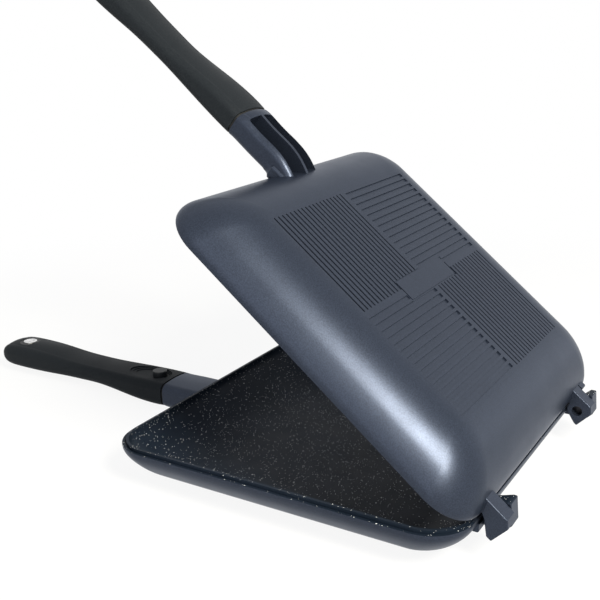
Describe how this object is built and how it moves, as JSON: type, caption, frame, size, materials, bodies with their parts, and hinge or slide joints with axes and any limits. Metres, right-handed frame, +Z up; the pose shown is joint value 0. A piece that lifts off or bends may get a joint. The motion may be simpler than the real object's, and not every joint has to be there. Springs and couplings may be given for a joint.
{
  "type": "stovetop sandwich maker",
  "caption": "Stovetop sandwich maker: shallow square pans hinged at the back that close on each other, with pull-off waisted grips, release buttons and magnets that hold the grips together.",
  "frame": {"origin": "centre of the lower pan's flat underside, on the hob or table", "axes": "+X along the hinge axis, +Y from the handles to the hinges, +Z up; the lid stands open by 38.9 degrees at rest"},
  "size_m": [0.214, 0.4035, 0.2848],
  "materials": {
    "pan_casting": "cast aluminium, satin slate-grey coating outside, black non-stick coating with fine white specks inside",
    "grip": "matte black moulded plastic",
    "button": "matte dark grey moulded plastic",
    "gasket": "matte black",
    "steel": "brushed",
    "spring_steel": "drawn wire",
    "magnet": "nickel-plated",
    "ring": "matte black"
  },
  "bodies": {
    "lower": {"lower_pan": "pan_casting", "lower_hinge_pin": "steel", "lower_seam_gasket": "gasket", "lower_grip": "grip", "lower_socket_sleeve": "steel", "lower_button_spring": "spring_steel", "lower_magnet": "magnet", "lower_magnet_ring": "ring"},
    "lid": {"upper_pan": "pan_casting", "upper_hinge_pin": "steel", "upper_seam_gasket": "gasket", "upper_grip": "grip", "upper_socket_sleeve": "steel", "upper_button_spring": "spring_steel", "upper_magnet": "magnet", "upper_magnet_ring": "ring"},
    "lower_button": {"lower_release_button": "button", "lower_latch_pin": "steel"},
    "upper_button": {"upper_release_button": "button", "upper_latch_pin": "steel"}
  },
  "joints": [
    {"name": "lid_hinge", "type": "hinge", "parent": "lower", "child": "lid", "pos_m": [0, 0.1092, 0.024], "axis": [-1, 0, 0], "range_deg": [-38.9, 37.1]},
    {"name": "lower_button_press", "type": "slide", "parent": "lower", "child": "lower_button", "axis": [0, 0, -1], "range_m": [0, 0.003], "stiffness_N_per_m": 900, "springref_m": -0.003, "deforming": ["lower_button_spring"]},
    {"name": "upper_button_press", "type": "slide", "parent": "lid", "child": "upper_button", "axis": [0, 0.628, 0.7782], "range_m": [0, 0.003], "stiffness_N_per_m": 900, "springref_m": -0.003, "deforming": ["upper_button_spring"]}
  ]
}
